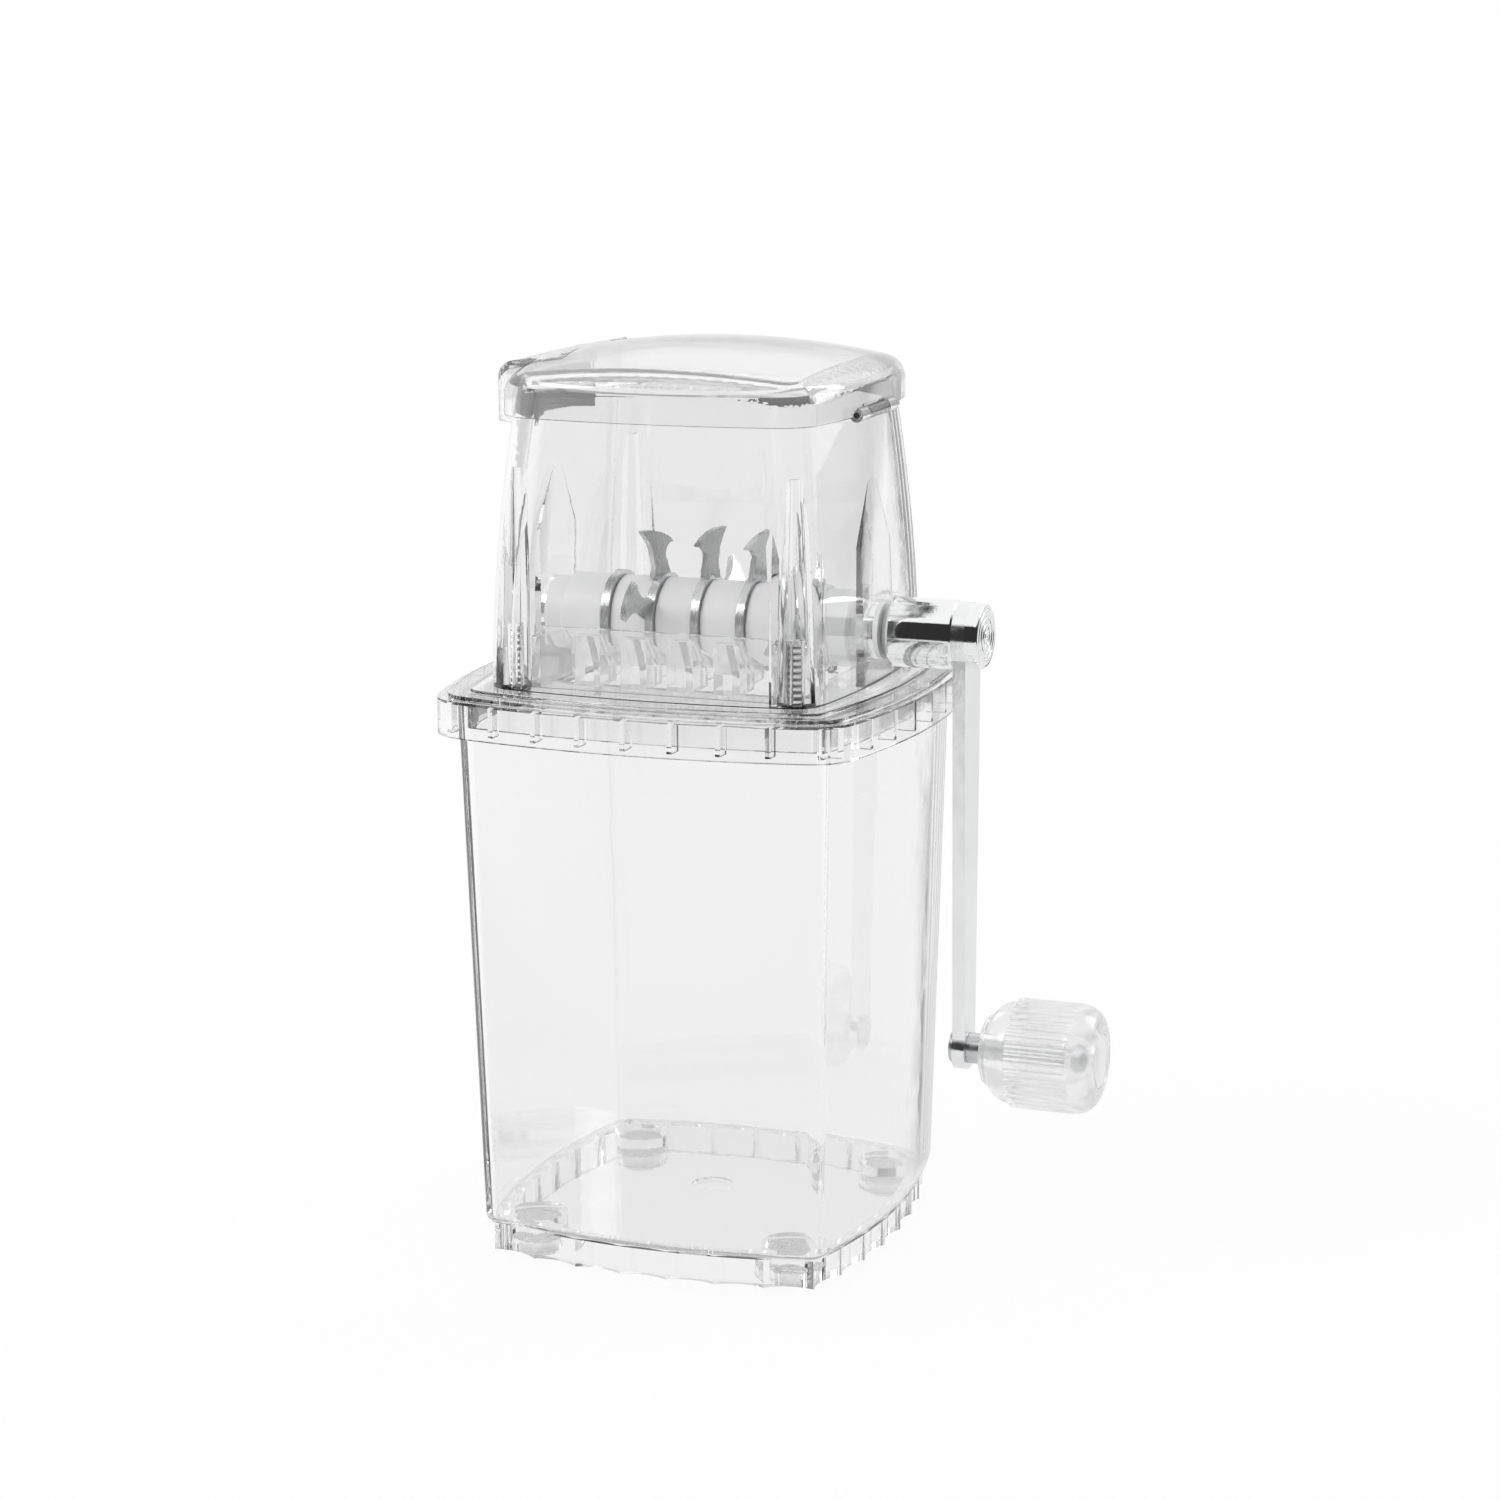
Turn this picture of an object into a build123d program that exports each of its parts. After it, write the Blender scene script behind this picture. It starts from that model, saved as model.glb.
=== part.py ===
from build123d import *
import math
import os

# ---------------------------------------------------------------- driving sizes, in millimetres
# Frame: +Z up, Z = 0 on the table, the shaft along X, the crank on the +X side, X = Y = 0 at the
# middle of the bin.

# clearances
run_gap = 0.05          # radial gap of a turning fit
seat_gap = 0.1          # gap between faces that rest on each other
loose_gap = 0.4         # sideways gap of parts that lift out
over = 1.0              # cutters run this far past a face

# bin: the clear container below
foot_proud = 1.5        # feet below the skirt
skirt_height = 9.4      # skirt bottom to the top of the floor plate
skirt_wall = 1.8
skirt_inset = 0.7       # skirt inside the plate edge
flutes = 7              # scallops on one side of the skirt
flute_depth = 1.8
plate_thickness = 1.6
base_half = 51.7        # half width at the middle of a side
base_camber = 6.4       # how far a side bows out from its corners
base_corner = 2.5
bin_wall = 2.0
bin_bottom_half = 52.4
bin_bottom_camber = 6.0
bin_mouth_half = 54.7
bin_mouth_camber = 4.7
bin_corner = 4.0
bin_bottom_round = 2.4
bin_height = 138.5      # floor plate to mouth
foot_inset = 16.2       # foot centre from the plate's edge, both ways
foot_diameter = 12.0
foot_thickness = 4.0
foot_chamfer = 0.5
boss_wall = 1.6
dimple_diameter = 11.0
dimple_depth = 0.6

# collar: the square ring that sits on the bin
rim_reach = 6.8         # rim beyond the bin's mouth
rim_camber = 7.0
rim_corner = 12.0
rim_height = 8.5
rim_wall = 1.8
deck_inset = 2.3        # deck edge inside the rim
deck_thickness = 2.0
step_inset = 7.0        # raised step inside the deck edge
step_height = 0.6
step_round = 0.45
plug_depth = 7.0
plug_wall = 1.8
rib_thickness = 1.4
ribs_per_side = 9
outlet_x = 66.0         # ice outlet under the rotor
outlet_y = 56.0
outlet_corner = 5.0
rib_low = 1.0           # collar ribs above the rim's lower edge

# hopper: the tapered housing above the collar
hopper_height = 76.2
hopper_halves = (47.5, 46.9, 45.2, 42.6)      # half widths at four levels
hopper_cambers = (3.7, 3.9, 4.2, 4.6)
hopper_corners = (8.5, 8.7, 9.0, 9.5)
hopper_levels = (0.0, 0.34, 0.67, 1.0)        # share of the height
hopper_wall = 2.2
pillar_round = 5.5      # extra inner corner radius, which leaves a thick corner
screw_at = 37.5         # screw pillar from the middle, both ways
pillar_diameter = 8.0
pillar_height = 56.0
pillar_top = 2.2        # pillar's radius at its top
screw_radius = 1.45
screw_length = 18.0
screw_head_radius = 3.0
screw_head_height = 2.2
screw_head_round = 0.8
screw_slot = (4.4, 0.8, 1.2)
bearing_rib_width = 23.0
bearing_rib_proud = 2.4
bearing_rib_height = 56.0
rib_point = 20.0        # height of the ribs' pointed tops
rib_tip = 0.6           # width of the point
guide_rib_width = 2.0
guide_rib_reach = 4.6   # into the hopper from the wall's inner face at its middle
guide_rib_at = 33.6

# lid
lid_gap = 0.35          # sideways gap around the hopper
lid_wall = 1.7
lid_overlap = 7.0       # lid rim below the hopper's top
lid_dome = 4.0          # crown above the edge of the top
lid_round = 6.5
lid_top = 10.2          # hopper top to the crown
tab_width = 44.0        # finger lip on the -X side
tab_reach = 7.2
tab_below = 3.9         # lip below the lid's rim
tab_wall = 1.9
tab_round = 9.0
tab_start = 0.7         # where the hood leaves the dome, as a share of the lid's half width
tab_fall = (2.6, 4.9)   # the hood's top below the crown, at its start and at its bend
seat_thickness = 1.4    # ledge that rests on the hopper

# lid hinge on the +X side
hinge_pin_diameter = 1.6
hinge_knuckle_diameter = 3.5
hinge_middle = 15.0     # knuckle on the hopper
hinge_side = 6.5        # each knuckle on the lid
hinge_gap = 0.4
hinge_rise = 0.5        # pin above the lid's rim
hinge_web = 0.6         # hopper's web above the pin

# rotor
axis_height = 12.9      # shaft above the hopper's foot
shaft_square = 6.0
shaft_tail = 5.1        # square end under the hub
shaft_in = 1.0          # square end inside the left spacer
journal_into_hub = 2.0
shaft_journal = 7.6
blade_count = 5
blade_pitch = 12.6
blade_middle = 0.4      # middle blade's place along the shaft
blade_thickness = 2.2
ring_radius = 12.0
claw_radius = 24.4
claw_spread = 62.0      # angle between the two claws of a blade
claw_twist = 25.0       # each claw is twisted out of the blade's plane
claw_leans = (-4.5, -4.5, 0.0, 4.5, 4.5)       # and each blade's claws lean along the shaft
claw_thickness = 1.9
claw_root = 2.9         # half width at the root
claw_neck = 2.2         # half width at the neck
claw_barb = 5.6         # barb's point from the claw's middle line
claw_tip = 4.8          # tip's point from it, the other way
claw_shoulder = 19.4    # barb's distance from the axis
claw_lift = 0.4         # root above the sleeves
blade_turns = (271.0, 128.0, 55.0, 57.0, 209.0)
spacer_radius = 10.8
stack_left = -37.8
last_spacer = 5.9       # last blade to the end of the stack
journal_radius = 9.5    # stepped end of the left spacer
stack_gap = 0.05
spacer_chamfer = 0.4

# bearings
bush_flange_radius = 10.0
bush_flange_length = 7.6
bush_wall = 3.45
bush_proud = 1.0

# combs: the fixed teeth
comb_side_gap = 0.2     # comb to the screw pillars
comb_y = 38.6           # outer face of a comb from the middle
comb_wall = 1.8
comb_height = 16.0
comb_chamfer = 3.0
comb_fin_width = 2.0    # thin part of a tooth, between the claws
comb_fin_inner = 12.8   # its tip from the shaft plane
comb_tooth_width = 7.0  # thick part of a tooth, outside the claws' reach
comb_return = 20.0
comb_return_drop = 4.0  # the returns' top falls by this
comb_tooth_low = 1.0    # under side of a tooth above the collar
comb_tooth_tip = 4.0    # tooth height at its tip
comb_tooth_drop = 2.0   # tooth top below the comb's
comb_tooth_root = 3.0   # level top of a tooth from the plate

# crank
hub_gap = 2.1           # hopper wall to the hub
hub_length = 18.9
hub_radius = 9.0
hub_taper = 2.2         # bevel towards the hopper
hub_edge = 0.5
arm_thickness = 3.4
arm_length = 109.0      # shaft axis to knob axis
arm_eye_radius = 8.6
arm_top_width = 13.4
arm_low_width = 9.0
arm_low_radius = 5.6
cap_length = 3.6
cap_radius = 8.5
cap_round = 1.2
cap_bore = 2.6
cap_grooves = (2.2, 4.2) # inner radii of the rings on its face
cap_groove = 0.5        # groove width
cap_groove_depth = 0.4
stud_radius = 2.5
stud_length = 2.2       # beyond the arm

# knob
knob_start = 4.5        # gap from the arm to the knob
knob_length = 30.8
knob_radius = 14.0
knob_neck_radius = 9.5
knob_ribs = 44
knob_rib_radius = 0.65
knob_rib_start = 8.6
knob_rib_length = 16.4
knob_rib_in = 0.35      # ribs' centre line under the surface
knob_shoulder = 8.0     # grip begins
knob_grip_start = 13.4  # radius where the grip begins
knob_end_length = 7.0   # rounded end
knob_end_radius = 8.0   # flat of the end face
pin_radius = 2.6
pin_head_radius = 4.6
pin_head_length = 2.4
pin_rivet = (4.2, 1.2)  # radius and height of the riveted head behind the arm
pin_shoulder_radius = 4.0
pin_slot = (1.0, 0.9)   # width and depth
knob_well_radius = 7.2
knob_well_depth = 7.0
knob_cap_thickness = 2.4
knob_cap_proud = 0.2
knob_cap_chamfer = 0.5
washer_radius = 5.2
washer_thickness = 0.8

# ---------------------------------------------------------------- places worked out from the sizes
skirt_z = foot_proud
floor_z = skirt_z + skirt_height
mouth_z = floor_z + bin_height
deck_under = mouth_z + seat_gap
deck_z = deck_under + deck_thickness
rim_low = deck_under - rim_height
step_z = deck_z + step_height
hopper_z = step_z
hopper_top = hopper_z + hopper_height
axis_z = hopper_z + axis_height
foot_at = base_half - foot_inset
rim_half = bin_mouth_half + rim_reach
blade_first = blade_middle - (blade_count - 1) / 2 * blade_pitch
stack_right = blade_first + (blade_count - 1) * blade_pitch + last_spacer
comb_half = screw_at - pillar_diameter / 2 - comb_side_gap
hub_start = hopper_halves[0] + hub_gap
hub_end = hub_start + hub_length
arm_start = hub_end
arm_end = arm_start + arm_thickness
knob_z = axis_z - arm_length
knob_x = arm_end + knob_start
knob_end = knob_x + knob_length
lid_low = hopper_top - lid_overlap
bin_corner_inside = bin_corner - bin_wall / 2
knuckle_radius = hinge_knuckle_diameter / 2
hinge_z = lid_low + hinge_rise
bush_sleeve_radius = shaft_journal / 2 + run_gap + bush_wall


def hopper_half_at(down):
    """Half width of the hopper's outside, measured down from its top."""
    band = hopper_height * (hopper_levels[-1] - hopper_levels[-2])
    return hopper_halves[-1] + (hopper_halves[-2] - hopper_halves[-1]) * down / band


lid_half_inside = hopper_half_at(lid_overlap) + lid_gap
lid_half = lid_half_inside + lid_wall
lip_half_inside = hopper_half_at(lid_overlap + tab_below) + lid_gap
hinge_x = hopper_half_at(hopper_top - hinge_z) + lid_gap + knuckle_radius
lid_crown = hopper_top + lid_top


# ---------------------------------------------------------------- shapes used more than once
def outline(half, camber, corner):
    """Square with bowed sides and rounded corners, in the XY plane."""
    c = half - camber
    points = [(-c, -c), (c, -c), (c, c), (-c, c)]
    middles = [(0, -half), (half, 0), (0, half), (-half, 0)]
    sides = [ThreePointArc(points[i], middles[i], points[(i + 1) % 4]) for i in range(4)]
    face = make_face(sides)
    return fillet(face.vertices(), corner) if corner > 0 else face


def slab(half, camber, corner, low, high):
    """Straight-walled block of that outline from one level to another."""
    return extrude(Pos(0, 0, low) * outline(half, camber, corner), amount=high - low)


def cylinder_x(radius, start, end, y=0.0, z=0.0):
    """Cylinder along X from one place to another."""
    disc = Plane.YZ.offset(start) * Pos(y, z) * Circle(radius)
    return extrude(disc, amount=end - start)


def cylinder_y(radius, start, end, x, z):
    """Cylinder along Y from one place to another."""
    return Pos(x, (start + end) / 2, z) * Rot(90, 0, 0) * Cylinder(radius, end - start)


def upright(radius, x, y, low, high):
    """Cylinder along Z from one level to another."""
    return Pos(x, y, (low + high) / 2) * Cylinder(radius, high - low)


def square_x(side, start, end, z):
    """Square bar along X."""
    return extrude(Plane.YZ.offset(start) * Pos(0, z) * Rectangle(side, side), amount=end - start)


def box(x0, x1, y0, y1, z0, z1):
    """Block between two corners."""
    return Pos((x0 + x1) / 2, (y0 + y1) / 2, (z0 + z1) / 2) * Box(x1 - x0, y1 - y0, z1 - z0)


def single(shape):
    """The one solid of a shape."""
    solids = shape.solids()
    assert len(solids) == 1, f"{len(solids)} solids"
    return solids[0]


def join(first, others):
    """One solid out of touching ones."""
    for other in others:
        first = first + other
    return first


# ---------------------------------------------------------------- bin
def scalloped_skirt():
    """Ring under the floor plate, its outside fluted between pointed ribs."""
    half = base_half - skirt_inset
    c = half - base_camber
    radius = (c * c + base_camber * base_camber) / (2 * base_camber)
    reach = math.asin(c / radius)

    def on_side(share, depth):
        angle = reach * (2 * share - 1)
        r = radius - depth
        return (half - radius + r * math.cos(angle), r * math.sin(angle))

    def turned(point, quarter):
        x, y = point
        for _ in range(quarter):
            x, y = -y, x
        return (x, y)

    arcs = []
    for quarter in range(4):
        for n in range(flutes):
            start = turned(on_side(n / flutes, 0), quarter)
            middle = turned(on_side((n + 0.5) / flutes, flute_depth), quarter)
            end = turned(on_side((n + 1) / flutes, 0), quarter)
            arcs.append(ThreePointArc(start, middle, end))
    top = floor_z - plate_thickness
    outer = extrude(Pos(0, 0, skirt_z) * make_face(arcs), amount=top - skirt_z)
    inner_half = half - flute_depth - skirt_wall
    inner = slab(inner_half, base_camber, base_corner, skirt_z, top)
    return outer - inner


def foot_places():
    """The feet's centres."""
    return [(sx * foot_at, sy * foot_at) for sx in (-1, 1) for sy in (-1, 1)]


def make_bin():
    """Clear tapered container: walls, floor, fluted skirt, foot bosses and gate dimple."""
    plate_under = floor_z - plate_thickness
    outer = loft([Pos(0, 0, plate_under) * outline(bin_bottom_half, bin_bottom_camber, bin_corner),
                  Pos(0, 0, mouth_z) * outline(bin_mouth_half, bin_mouth_camber, bin_corner)])
    outer = fillet(outer.edges().group_by(Axis.Z)[0], bin_bottom_round)
    inner = loft([Pos(0, 0, floor_z) * outline(bin_bottom_half - bin_wall, bin_bottom_camber,
                                               bin_corner_inside),
                  Pos(0, 0, mouth_z) * outline(bin_mouth_half - bin_wall, bin_mouth_camber,
                                               bin_corner_inside)])
    body = outer + slab(base_half, base_camber, base_corner, plate_under, floor_z) - inner
    body = body + scalloped_skirt()
    for x, y in foot_places():
        body = body + upright(foot_diameter / 2 + boss_wall, x, y, skirt_z, plate_under)
    for x, y in foot_places():
        body = body - upright(foot_diameter / 2 + run_gap, x, y, skirt_z, foot_thickness)
    return single(body - upright(dimple_diameter / 2, 0, 0, floor_z - dimple_depth, floor_z))


def make_foot(x, y):
    """Round pad pressed into its boss."""
    pad = upright(foot_diameter / 2, x, y, 0, foot_thickness)
    return single(chamfer(pad.edges().group_by(Axis.Z)[0], foot_chamfer))


# ---------------------------------------------------------------- collar
def make_collar():
    """Square ring over the bin's mouth: rim, deck, raised step, plug and stiffening ribs."""
    ledge_z = deck_under + deck_thickness / 2
    rim = slab(rim_half, rim_camber, rim_corner, rim_low, deck_under)
    rim = rim - slab(rim_half - rim_wall, rim_camber, rim_corner - rim_wall, rim_low, deck_under)
    deck = slab(rim_half, rim_camber, rim_corner, deck_under, ledge_z)
    upper = slab(rim_half - deck_inset, rim_camber, rim_corner - deck_inset, ledge_z, deck_z)
    step = slab(rim_half - step_inset, rim_camber, rim_corner - step_inset, deck_z, step_z)
    step = fillet(step.edges().group_by(Axis.Z)[-1], step_round)
    plug_half = bin_mouth_half - bin_wall - loose_gap
    plug = slab(plug_half, bin_mouth_camber, bin_corner_inside, deck_under - plug_depth, deck_under)
    plug = plug - slab(plug_half - plug_wall, bin_mouth_camber, bin_corner_inside,
                       deck_under - plug_depth, deck_under)
    body = join(rim, [deck, upper, step, plug])
    rib_from = bin_mouth_half + loose_gap
    pitch = 2 * (rim_half - rim_corner) / (ribs_per_side - 1)
    ring = slab(rim_half - rim_wall / 2, rim_camber, rim_corner, rim_low + rib_low, ledge_z)
    ring = ring - slab(rib_from, bin_mouth_camber, bin_corner, rim_low, deck_z)
    thick = rib_thickness / 2
    places = [(n - (ribs_per_side - 1) / 2) * pitch for n in range(ribs_per_side)]
    bars = Part() + [box(-rim_half, rim_half, at - thick, at + thick, rim_low, deck_z) for at in places]
    grid = bars + Rot(0, 0, 90) * bars
    body = body + (ring & grid)
    hole = RectangleRounded(outlet_x, outlet_y, outlet_corner)
    body = body - extrude(Pos(0, 0, deck_under - over) * hole, amount=step_z - deck_under + 2 * over)
    for x, y in screw_places():
        body = body - upright(screw_radius + seat_gap, x, y, deck_under - over, step_z + over)
    return single(body)


def screw_places():
    """The housing screws' centres."""
    return [(sx * screw_at, sy * screw_at) for sx in (-1, 1) for sy in (-1, 1)]


def make_housing_screws():
    """Four self-tapping screws from below the deck into the hopper's pillars."""
    screws = []
    head_top = deck_under - seat_gap / 2
    head_low = head_top - screw_head_height
    long, wide, deep = screw_slot
    for x, y in screw_places():
        head = upright(screw_head_radius, x, y, head_low, head_top)
        head = fillet(head.edges().group_by(Axis.Z)[0], screw_head_round)
        cross = Pos(x, y, head_low + deep / 2) * (Box(long, wide, deep) + Box(wide, long, deep))
        shank = upright(screw_radius, x, y, head_top - over / 2, head_top + screw_length)
        screws.append(single(head - cross + shank))
    return screws


# ---------------------------------------------------------------- hopper
def hopper_loft(inset, extra_corner, low, high):
    """Tapered block of the hopper's shape, inset from its outside."""
    sections = []
    for level, half, camber, corner in zip(hopper_levels, hopper_halves, hopper_cambers, hopper_corners):
        z = low + (high - low) * level
        sections.append(Pos(0, 0, z) * outline(half - inset, camber, corner + extra_corner))
    return loft(sections)


def pointed_rib(width, near, far, at, turn):
    """Upright rib with a pointed top, from one distance to another, across the wall the turn faces."""
    low, high = hopper_z, hopper_z + bearing_rib_height
    w, tip, shoulder = width / 2, rib_tip / 2, high - rib_point
    edge = Polyline((-w, low), (w, low), (w, shoulder), (tip, high), (-tip, high), (-w, shoulder),
                    close=True)
    start, end = sorted((near, far))
    rib = extrude(Plane.YZ.offset(start) * make_face(edge), amount=end - start)
    return Pos(at, 0) * Rot(0, 0, turn) * rib if turn else rib


def make_hopper():
    """Clear tapered housing, open above and below, with thick corners and inner ribs."""
    outer = hopper_loft(0, 0, hopper_z, hopper_top)
    inner = hopper_loft(hopper_wall, pillar_round - hopper_wall, hopper_z, hopper_top)
    half = hopper_halves[0]
    inside = half - hopper_wall
    extras = []
    for x, y in screw_places():
        pillar = Cone(pillar_diameter / 2, pillar_top, pillar_height)
        extras.append(Pos(x, y, hopper_z + pillar_height / 2) * pillar)
    for side in (-1, 1):
        bearing_at, guide_at = side * (inside - bearing_rib_proud), side * (inside - guide_rib_reach)
        extras.append(pointed_rib(bearing_rib_width, bearing_at, side * half, 0, 0))
        for at in (-guide_rib_at, guide_rib_at):
            extras.append(pointed_rib(guide_rib_width, guide_at, side * half, at, 90))
    added = Part() + extras
    body = (outer - inner) + (added & outer)
    bore = bush_sleeve_radius + run_gap
    body = body - cylinder_x(bore, 0, half + over, 0, axis_z)
    body = body - cylinder_x(journal_radius + run_gap, -(half - hopper_wall / 2), 0, 0, axis_z)
    for x, y in screw_places():
        body = body - upright(screw_radius + run_gap, x, y, hopper_z, deck_under + screw_length + over)
    body = body + hopper_knuckle(outer)
    hole = cylinder_y(hinge_pin_diameter / 2, -hinge_middle, hinge_middle, hinge_x, hinge_z)
    return single(body - hole)


def hopper_knuckle(outer):
    """Middle hinge knuckle and the web that carries it."""
    half = hinge_middle / 2
    r = knuckle_radius
    web = box(hopper_halves[-1] - hopper_wall, hinge_x, -half, half, hinge_z - r, hinge_z + hinge_web)
    inner = hopper_loft(hopper_wall, pillar_round - hopper_wall, hopper_z, hopper_top)
    return cylinder_y(r, -half, half, hinge_x, hinge_z) + (web - inner)


# ---------------------------------------------------------------- lid
def domed(block, half, top):
    """The block under a shallow sphere that is highest at the middle."""
    radius = (half * half + lid_dome * lid_dome) / (2 * lid_dome)
    return block & (Pos(0, 0, top - radius) * Sphere(radius))


def lid_shell(inset):
    """Domed block of the lid's shape, inset from its outside."""
    top = lid_crown - inset
    half = lid_half - inset
    block = slab(half, hopper_cambers[-1], hopper_corners[-1] + lid_wall - inset, lid_low, top)
    block = domed(block, half - hopper_cambers[-1], top)
    edges = [e for e in block.edges() if e.bounding_box().min.Z > lid_low + over]
    return fillet(edges, lid_round - inset)


def tab_shell(inset):
    """Hood of the finger lip, inset from its outside: its top runs out from the dome and curls down."""
    end = lid_half + tab_reach - inset
    crown = lid_crown - inset
    start = lid_half * tab_start
    start_z, bend_z = crown - tab_fall[0], crown - tab_fall[1]
    r = tab_round - inset
    low = lid_low - tab_below
    leg = r * (1 - math.sqrt(0.5))
    edge = [
        Line((-start, start_z), (r - end, bend_z)),
        ThreePointArc((r - end, bend_z), (leg - end, bend_z - leg), (-end, bend_z - r)),
        Line((-end, bend_z - r), (-end, low)),
        Line((-end, low), (-start, low)),
        Line((-start, low), (-start, start_z)),
    ]
    width = tab_width - 2 * inset
    hood = extrude(Plane.XZ.offset(-width / 2) * make_face(edge), amount=width)
    plan = RectangleRounded(2 * end, width, r)
    return hood & extrude(Pos(0, 0, low) * plan, amount=crown - low)


def make_lid():
    """Domed clear lid with its finger lip, its seat and two hinge knuckles."""
    outer = lid_shell(0)
    hood = tab_shell(0) - tab_shell(tab_wall)
    camber, corner = hopper_cambers[-1], hopper_corners[-1]
    keep_out = lid_shell(lid_wall) + slab(lip_half_inside, hopper_cambers[-2], corner,
                                          lid_low - tab_below, hopper_top)
    added = [hood - keep_out]
    near = hinge_middle / 2 + hinge_gap
    for y0, y1 in ((near, near + hinge_side), (-near - hinge_side, -near)):
        added.append(cylinder_y(knuckle_radius, y0, y1, hinge_x, hinge_z))
    rest = hopper_top + seat_gap
    seat = slab(lid_half - lid_wall / 2, camber, corner, rest, rest + seat_thickness)
    seat = seat - slab(hopper_halves[-1] - hopper_wall, camber, corner, rest, rest + seat_thickness)
    body = join(outer - lid_shell(lid_wall) + (seat & outer), added)
    far = near + hinge_side + over
    body = body - box(lid_half_inside - over, hinge_x + knuckle_radius + over, -near, near,
                      lid_low - over, hinge_z + knuckle_radius + hinge_gap)
    return single(body - cylinder_y(hinge_pin_diameter / 2 + run_gap, -far, far, hinge_x, hinge_z))


def make_hinge_pin():
    """Steel pin through the three knuckles."""
    reach = hinge_middle / 2 + hinge_gap + hinge_side
    return single(cylinder_y(hinge_pin_diameter / 2, -reach, reach, hinge_x, hinge_z))


# ---------------------------------------------------------------- rotor
def make_shaft():
    """Square bar through the blades, turned round where it runs in the right bush."""
    square = square_x(shaft_square, stack_left + shaft_in, stack_right, axis_z)
    round_part = cylinder_x(shaft_journal / 2, stack_right, hub_start + journal_into_hub, 0, axis_z)
    tail = square_x(shaft_tail, hub_start + journal_into_hub, hub_end, axis_z)
    stud = cylinder_x(stud_radius, hub_end, arm_end + stud_length, 0, axis_z)
    return single(square + round_part + tail + stud)


def claw():
    """One hooked claw along +Z from the shaft axis, flat in the YZ plane."""
    root = spacer_radius + claw_lift
    neck = claw_shoulder - claw_neck
    edge = [
        Line((-claw_root, root), (-claw_neck, neck)),
        ThreePointArc((-claw_neck, neck), (-claw_root, claw_shoulder - 0.9), (-claw_barb, claw_shoulder)),
        ThreePointArc((-claw_barb, claw_shoulder), (-1.2, claw_radius - 1.4), (claw_tip, claw_radius)),
        ThreePointArc((claw_tip, claw_radius), (2.4, claw_shoulder), (claw_root, root)),
        Line((claw_root, root), (-claw_root, root)),
    ]
    face = Plane.YZ.offset(-claw_thickness / 2) * make_face(edge)
    return extrude(face, amount=claw_thickness)


def make_blade(x, turn, lean):
    """Stamped ring with two twisted claws, on the square of the shaft."""
    ring = cylinder_x(ring_radius, -blade_thickness / 2, blade_thickness / 2)
    for side, shape in ((-1, mirror(claw(), Plane.XZ)), (1, claw())):
        set_out = Rot(side * claw_spread / 2 - 90, 0, 0) * Rot(0, lean, 0) * Rot(0, 0, -claw_twist)
        ring = ring + set_out * shape
    ring = Rot(turn, 0, 0) * ring
    ring = ring - square_x(shaft_square + 2 * run_gap, -blade_thickness, blade_thickness, 0)
    return single(Pos(x, 0, axis_z) * ring)


def blade_places():
    """The blades' places along the shaft."""
    return [blade_first + n * blade_pitch for n in range(blade_count)]


def make_spacers():
    """Sleeves between the blades; the first has the journal that runs in the left wall."""
    edges = [stack_left] + blade_places() + [stack_right]
    spacers = []
    for n in range(len(edges) - 1):
        start = edges[n] + (blade_thickness / 2 + stack_gap if n else 0)
        end = edges[n + 1] - (blade_thickness / 2 + stack_gap if n < len(edges) - 2 else 0)
        sleeve = cylinder_x(spacer_radius, start, end, 0, axis_z)
        rounds = sleeve.edges().group_by(Axis.X)
        sleeve = chamfer(rounds[0] + rounds[-1], spacer_chamfer)
        if n == 0:
            wall_inside = hopper_halves[0] - hopper_wall
            sleeve = sleeve + cylinder_x(journal_radius, -wall_inside, start + over, 0, axis_z)
            start = stack_left + shaft_in - run_gap
        sleeve = sleeve - square_x(shaft_square + 2 * run_gap, start, end + over, axis_z)
        spacers.append(single(sleeve))
    return spacers


# ---------------------------------------------------------------- bush and combs
def make_bush():
    """Flanged nylon bush in the right wall."""
    start = stack_right + stack_gap
    flange = cylinder_x(bush_flange_radius, start, start + bush_flange_length, 0, axis_z)
    sleeve = cylinder_x(bush_sleeve_radius, start, hopper_halves[0] + bush_proud, 0, axis_z)
    return single(flange + sleeve - cylinder_x(shaft_journal / 2 + run_gap, start, hub_start, 0, axis_z))


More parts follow.
